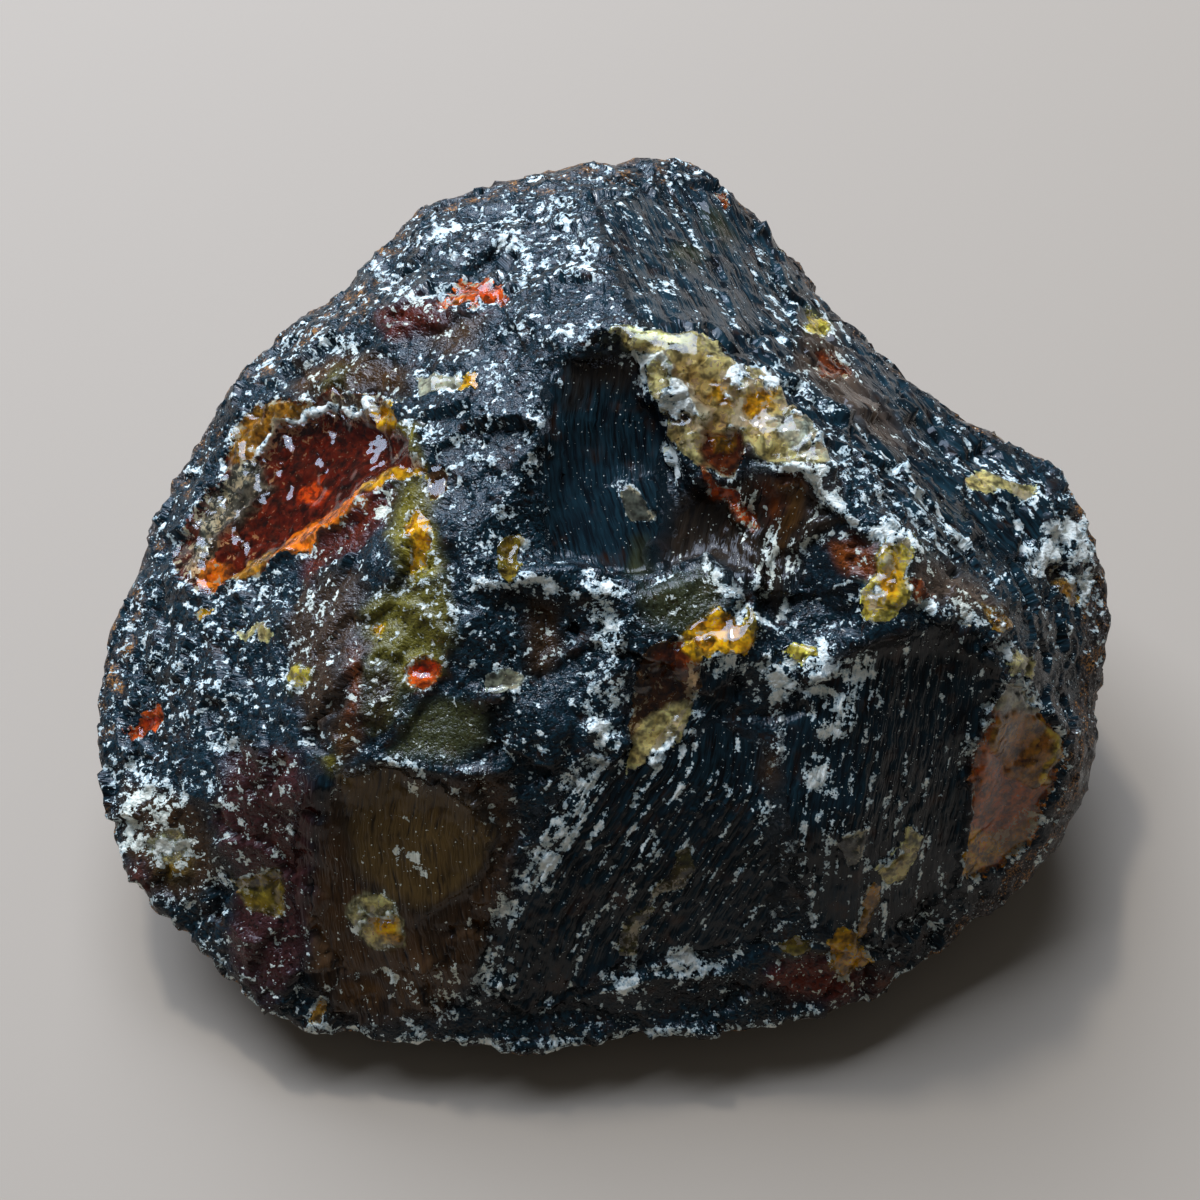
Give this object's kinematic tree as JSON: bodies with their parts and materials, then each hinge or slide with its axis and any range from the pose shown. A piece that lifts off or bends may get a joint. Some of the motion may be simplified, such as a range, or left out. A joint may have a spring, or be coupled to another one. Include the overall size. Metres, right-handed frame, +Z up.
{
  "type": "raw amber",
  "caption": "Rough block of dark amber with a broken, hollowed front, a crusted back and a small flat spot to rest on.",
  "frame": {"origin": "middle of the block's box, on the ground that it rests on", "axes": "+X along the block's longest side, -Y towards its broken front, +Z up"},
  "size_m": [0.1262, 0.1154, 0.0621],
  "materials": {
    "amber": "glossy broken faces, matt crust"
  },
  "bodies": {
    "root": {"raw_amber": "amber"}
  },
  "joints": []
}
